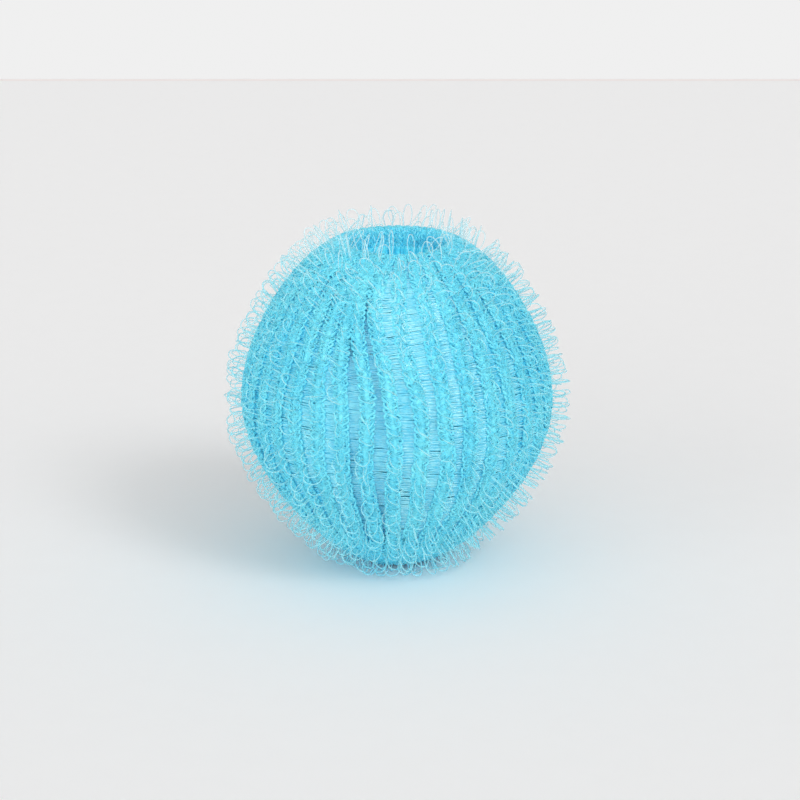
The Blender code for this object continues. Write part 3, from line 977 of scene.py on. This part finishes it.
def fibre_material(name, deep, pale, patch, speck, contrast, roughness, alpha=1.0, ior=1.5, crown=0.0):
    """Dyed filament: its colour wanders in patches and in specks, and fine ridges run along it. Towards the
    crown it may be painted paler, as painted light.
    """
    material = bpy.data.materials.new(name)
    material.use_nodes = True
    tree = material.node_tree
    link = tree.links.new
    shader = tree.nodes["Principled BSDF"]
    where = add_node(material, "ShaderNodeTexCoord")
    patches = add_node(material, "ShaderNodeTexNoise", Scale=1 / patch, Detail=2.0)
    specks = add_node(material, "ShaderNodeTexNoise", Scale=1 / speck, Detail=3.0, Roughness=0.6)
    link(where.outputs["Object"], patches.inputs["Vector"])
    link(where.outputs["Object"], specks.inputs["Vector"])
    both = add_node(material, "ShaderNodeMix", data_type="FLOAT", Factor=SPECK_SHARE)
    link(patches.outputs["Fac"], both.inputs["A"])
    link(specks.outputs["Fac"], both.inputs["B"])
    spread = add_node(material, "ShaderNodeMapRange")
    spread.inputs["From Min"].default_value = 0.5 - contrast
    spread.inputs["From Max"].default_value = 0.5 + contrast
    link(both.outputs["Result"], spread.inputs["Value"])
    ramp = add_node(material, "ShaderNodeValToRGB")
    ramp.color_ramp.elements[0].color = (*deep, 1.0)
    ramp.color_ramp.elements[1].color = (*pale, 1.0)
    link(spread.outputs["Result"], ramp.inputs["Fac"])
    colour = ramp.outputs["Color"]
    # Towards the crown the colour is painted paler: painted light for the bright surround seen through the
    # filaments
    if crown:
        colour = paint_crown_light(material, where.outputs["Object"], colour, crown)
    link(colour, shader.inputs["Base Color"])
    rough = add_node(material, "ShaderNodeMapRange")
    rough.inputs["To Min"].default_value = roughness - ROUGHNESS_SPREAD
    rough.inputs["To Max"].default_value = roughness + ROUGHNESS_SPREAD
    link(specks.outputs["Fac"], rough.inputs["Value"])
    link(rough.outputs["Result"], shader.inputs["Roughness"])
    strand = add_node(material, "ShaderNodeUVMap", uv_map="strand")
    wave = add_node(material, "ShaderNodeTexWave", wave_type="BANDS", bands_direction="Y")
    wave.inputs["Scale"].default_value = RIDGE_SCALE
    stretch = add_node(material, "ShaderNodeMapping")
    stretch.inputs["Rotation"].default_value = (0.0, 0.0, RIDGE_SLANT)
    link(strand.outputs["UV"], stretch.inputs["Vector"])
    link(stretch.outputs["Vector"], wave.inputs["Vector"])
    ridge = add_node(material, "ShaderNodeBump", Strength=RIDGE_STRENGTH, Distance=RIDGE_HEIGHT)
    link(wave.outputs["Fac"], ridge.inputs["Height"])
    link(ridge.outputs["Normal"], shader.inputs["Normal"])
    shader.inputs["Alpha"].default_value = alpha
    shader.inputs["IOR"].default_value = ior
    return material


def stage_material(name, colour):
    """A matt studio surface with a faint grain."""
    material = bpy.data.materials.new(name)
    material.use_nodes = True
    link = material.node_tree.links.new
    shader = material.node_tree.nodes["Principled BSDF"]
    shader.inputs["Roughness"].default_value = 0.9
    shader.inputs["Specular IOR Level"].default_value = 0.1
    where = add_node(material, "ShaderNodeTexCoord")
    noise = add_node(material, "ShaderNodeTexNoise", Scale=1 / FLOOR_GRAIN, Detail=3.0)
    link(where.outputs["Object"], noise.inputs["Vector"])
    ramp = add_node(material, "ShaderNodeValToRGB")
    ramp.color_ramp.elements[0].color = (*(value * GRAIN_SHADE for value in colour), 1.0)
    ramp.color_ramp.elements[1].color = (*colour, 1.0)
    link(noise.outputs["Fac"], ramp.inputs["Fac"])
    link(ramp.outputs["Color"], shader.inputs["Base Color"])
    return material


def add_stage_plane(name, corners, material):
    mesh = bpy.data.meshes.new(name)
    mesh.from_pydata(corners, [], [(0, 1, 2, 3)])
    mesh.materials.append(material)
    plane = bpy.data.objects.new(name, mesh)
    bpy.context.scene.collection.objects.link(plane)
    return plane


def link_strength(owner, target):
    """Makes a lit surround paler to the camera and in glossy filaments than the light it gives."""
    seen = add_node(owner, "ShaderNodeLightPath")
    either = add_node(owner, "ShaderNodeMath", operation="MAXIMUM")
    strength = add_node(owner, "ShaderNodeMapRange")
    strength.inputs["To Min"].default_value = WORLD_LIGHT
    strength.inputs["To Max"].default_value = WALL_BRIGHTNESS
    link = owner.node_tree.links.new
    link(seen.outputs["Is Camera Ray"], either.inputs[0])
    link(seen.outputs["Is Glossy Ray"], either.inputs[1])
    link(either.outputs["Value"], strength.inputs["Value"])
    link(strength.outputs["Result"], target)


def backdrop_material():
    """The lit wall behind the floor."""
    material = bpy.data.materials.new("backdrop_paper")
    material.use_nodes = True
    material.node_tree.nodes.clear()
    light = add_node(material, "ShaderNodeEmission")
    output = add_node(material, "ShaderNodeOutputMaterial")
    material.node_tree.links.new(light.outputs["Emission"], output.inputs["Surface"])
    link_strength(material, light.inputs["Strength"])
    return material


def make_stage():
    """The pale floor, which ends behind the ball, and the paler wall beyond it."""
    side = STAGE_HALF_WIDTH
    back = FLOOR_BACK
    floor = ((-side, -side, 0), (side, -side, 0), (side, back, 0), (-side, back, 0))
    add_stage_plane("floor", floor, stage_material("floor_paper", FLOOR_COLOUR))
    lift = FLOOR_EDGE_LIFT
    near = back - FLOOR_EDGE_DEPTH
    edge = ((-side, near, lift), (side, near, lift), (side, back, lift), (-side, back, lift))
    add_stage_plane("floor_edge", edge, stage_material("floor_edge_paper", FLOOR_EDGE_COLOUR))
    deep = back + WALL_BEHIND_FLOOR
    wall = ((-side, deep, -side), (side, deep, -side), (side, deep, side), (-side, deep, side))
    backdrop = add_stage_plane("backdrop", wall, backdrop_material())
    # The lamps behind the ball shine past the wall
    backdrop.visible_shadow = False


def make_camera():
    data = bpy.data.cameras.new("camera")
    data.lens = LENS
    data.sensor_width = SENSOR_WIDTH
    data.clip_start = CLIP_START
    camera = bpy.data.objects.new("camera", data)
    bpy.context.scene.collection.objects.link(camera)
    towards = Vector((0, math.cos(CAMERA_ELEVATION), -math.sin(CAMERA_ELEVATION)))
    camera.location = AIM - towards * CAMERA_DISTANCE
    camera.rotation_euler = towards.to_track_quat("-Z", "Y").to_euler()
    bpy.context.scene.camera = camera


def add_lamp(name, turn, height, level, width):
    """A far, wide lamp, with its angles in degrees."""
    turn = math.radians(turn)
    height = math.radians(height)
    data = bpy.data.lights.new(name, "SUN")
    data.energy = math.pi * level
    data.angle = math.radians(width)
    lamp = bpy.data.objects.new(name, data)
    bpy.context.scene.collection.objects.link(lamp)
    way = Vector((math.sin(turn) * math.cos(height), -math.cos(turn) * math.cos(height), math.sin(height)))
    lamp.rotation_euler = way.to_track_quat("Z", "Y").to_euler()


def make_lights():
    """Wide lamps in front of the ball and behind it, in an even pale surround."""
    for lamp in LAMPS:
        add_lamp(*lamp)
    world = bpy.data.worlds.new("studio")
    world.use_nodes = True
    background = world.node_tree.nodes["Background"]
    background.inputs["Color"].default_value = (1.0, 1.0, 1.0, 1.0)
    link_strength(world, background.inputs["Strength"])
    bpy.context.scene.world = world


wale_yarn = fibre_material(
    "wale_yarn",
    deep=(0.10, 0.69, 0.90),
    pale=(0.26, 0.88, 0.97),
    patch=5 * MM,
    speck=0.5 * MM,
    contrast=0.22,
    roughness=0.45,
)
pile_filament = fibre_material(
    "pile_filament",
    deep=(0.22, 0.84, 0.96),
    pale=(0.60, 0.97, 1.0),
    patch=4 * MM,
    speck=0.6 * MM,
    contrast=0.2,
    roughness=0.3,
    alpha=0.4,
    crown=CROWN_PAINTED_LIGHT,
)
net_filament = fibre_material(
    "net_filament",
    deep=(0.05, 0.62, 0.87),
    pale=(0.26, 0.83, 0.94),
    patch=4 * MM,
    speck=0.5 * MM,
    contrast=0.2,
    roughness=0.2,
    ior=2.0,
)
# Ground filament painted paler in stretches: a painted glint of the lamps and painted light seen through the
# net
glint_filament = fibre_material(
    "glint_filament",
    deep=(0.08, 0.66, 0.88),
    pale=(0.40, 0.88, 0.96),
    patch=2.5 * MM,
    speck=0.5 * MM,
    contrast=0.15,
    roughness=0.2,
    ior=1.9,
)
# The second layer's yarn is paler and greyer than the wales' yarn: partly its own colour as a clear filament,
# partly painted light that lifts the shade it lies in behind the first layer
sleeve_yarn = fibre_material(
    "sleeve_yarn",
    deep=(0.20, 0.74, 0.90),
    pale=(0.42, 0.90, 0.97),
    patch=5 * MM,
    speck=0.6 * MM,
    contrast=0.2,
    roughness=0.45,
)
gathered_knit = fibre_material(
    "gathered_knit",
    deep=(0.09, 0.70, 0.91),
    pale=(0.21, 0.88, 0.97),
    patch=3 * MM,
    speck=0.5 * MM,
    contrast=0.2,
    roughness=0.5,
)
tie_thread = fibre_material(
    "tie_thread",
    deep=(0.20, 0.68, 0.86),
    pale=(0.5, 0.88, 0.96),
    patch=3 * MM,
    speck=0.4 * MM,
    contrast=0.2,
    roughness=0.5,
)

make_camera()
make_lights()
make_stage()
for wale in range(WALE_COUNT):
    make_chain(wale, wale_yarn)
    make_pile(wale, pile_filament)
make_net(net_filament, glint_filament)
make_sleeve(sleeve_yarn)
make_gather(
    "top_gather_cords",
    "top_gather",
    TOP_WALL_RADIUS,
    TOP_WALL_LENGTH,
    CRATER_DEPTH,
    BODY_HEIGHT,
    -1,
    gathered_knit,
)
make_gather(
    "bottom_gather_cords",
    "bottom_gather",
    DIMPLE_RADIUS,
    BOTTOM_WALL_LENGTH,
    DIMPLE_DEPTH,
    0.0,
    1,
    gathered_knit,
)
make_tie("top_tie_thread", "top_tie", TOP_TIE_LEVEL, tie_thread)
make_tie("bottom_tie_thread", "bottom_tie", BOTTOM_TIE_LEVEL, tie_thread)
make_knot("top_knot_thread", "top_knot", TOP_TIE_LEVEL, TOP_KNOT_ANGLE, tie_thread)
make_knot("bottom_knot_thread", "bottom_knot", BOTTOM_TIE_LEVEL, BOTTOM_KNOT_ANGLE, tie_thread)

bpy.context.scene.view_settings.view_transform = "Standard"
# Light finds its way through many thin filaments before it leaves the ball
cycles = bpy.context.scene.cycles
cycles.max_bounces = 24
cycles.diffuse_bounces = 16
cycles.transparent_max_bounces = 64
